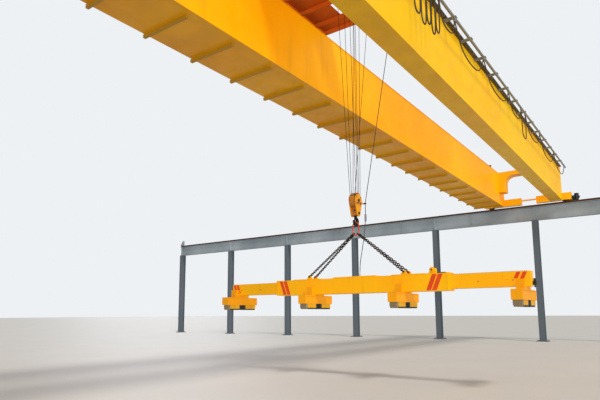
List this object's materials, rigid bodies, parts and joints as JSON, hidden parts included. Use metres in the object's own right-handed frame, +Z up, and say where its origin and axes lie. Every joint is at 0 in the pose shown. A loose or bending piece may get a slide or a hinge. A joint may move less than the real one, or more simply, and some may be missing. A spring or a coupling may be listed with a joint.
{
  "type": "overhead travelling crane with magnet spreader",
  "caption": "Double box girder bridge crane on column runways, with a rope hoist trolley, hook block and a telescopic spreader carrying lifting magnets.",
  "frame": {"origin": "on the floor, at the middle of the two runways' footprint", "axes": "+X along the bridge towards the far runway, +Y along the runways, +Z up"},
  "size_m": [35.218, 36.62, 10.967],
  "materials": {
    "girder_paint": "yellow gloss enamel on plate",
    "trolley_paint": "orange-brown enamel",
    "block_paint": "orange enamel, worn at the edges",
    "spreader_paint": "yellow enamel, scuffed",
    "runway_paint": "blue-grey primer and top coat",
    "rail_steel": "rolled steel, bright on the running face",
    "wheel_steel": "forged and turned wheel steel",
    "motor_paint": "black enamel on cast ribs",
    "galvanised": "galvanised rolled section",
    "black_plastic": "black moulded plastic",
    "cable_rubber": "black cable sheath",
    "rope_steel": "greased wire rope",
    "forged_black": "black forged steel",
    "link_red": "orange-red enamel on forged steel",
    "chain_steel": "dark heat-treated chain",
    "magnet_grey": "yellow enamel case with steel poles"
  },
  "bodies": {
    "runway": {"far_runway_beam": "runway_paint", "near_runway_beam": "runway_paint", "runway_rails": "rail_steel", "far_columns": "runway_paint", "near_columns": "runway_paint", "runway_stops": "runway_paint"},
    "bridge": {"left_girder": "girder_paint", "right_girder": "girder_paint", "end_carriages": "girder_paint", "bridge_wheels": "wheel_steel", "end_ties": "girder_paint", "bridge_buffers": "cable_rubber", "travel_drives": "motor_paint", "trolley_rails": "rail_steel", "walkway": "girder_paint", "walkway_handrail": "girder_paint", "festoon_track": "galvanised", "cable_tray": "black_plastic", "festoon_carriers": "galvanised", "festoon_cable": "cable_rubber"},
    "trolley": {"trolley_frame": "trolley_paint", "trolley_wheels": "wheel_steel", "hoist_drum": "rail_steel", "hoist_drive": "motor_paint", "upper_sheaves": "wheel_steel", "cable_reel": "trolley_paint", "hoist_ropes": "rope_steel", "drum_ropes": "rope_steel", "magnet_cable": "cable_rubber"},
    "hook_block": {"block_cheeks": "block_paint", "block_cover": "block_paint", "block_sheaves": "wheel_steel", "crosshead": "forged_black"},
    "spreader": {"hook": "forged_black", "master_link": "link_red", "lifting_chains": "chain_steel", "magnet_lead": "cable_rubber", "spreader_beam": "spreader_paint", "spreader_lugs": "spreader_paint", "arm_drive": "spreader_paint", "inner_crossbars": "spreader_paint", "inner_magnets": "magnet_grey"},
    "left_arm": {"left_arm": "spreader_paint", "left_crossbar": "spreader_paint", "left_magnets": "magnet_grey"},
    "right_arm": {"right_arm": "spreader_paint", "right_crossbar": "spreader_paint", "right_magnets": "magnet_grey"}
  },
  "joints": [
    {"name": "bridge_travel", "type": "slide", "parent": "runway", "child": "bridge", "axis": [0, 1, 0], "range_m": [-3.81, 27.07]},
    {"name": "trolley_travel", "type": "slide", "parent": "bridge", "child": "trolley", "axis": [1, 0, 0], "range_m": [-11.09, 18]},
    {"name": "hoist_lift", "type": "slide", "parent": "trolley", "child": "hook_block", "axis": [0, 0, 1], "range_m": [-1.7, 2.9], "deforming": ["hoist_ropes", "drum_ropes", "magnet_cable"]},
    {"name": "hook_swivel", "type": "hinge", "parent": "hook_block", "child": "spreader", "pos_m": [-3.31, -11.63, 4.15], "axis": [0, 0, 1], "range_deg": [-90, 90], "deforming": ["magnet_lead"]},
    {"name": "left_arm_reach", "type": "slide", "parent": "spreader", "child": "left_arm", "axis": [0, 1, 0], "range_m": [-1.25, 0.4]},
    {"name": "right_arm_reach", "type": "slide", "parent": "spreader", "child": "right_arm", "axis": [0, -1, 0], "range_m": [-1.25, 0.4]}
  ],
  "couplings": [
    {"joint": "right_arm_reach", "follows": "left_arm_reach", "ratio": 1}
  ]
}
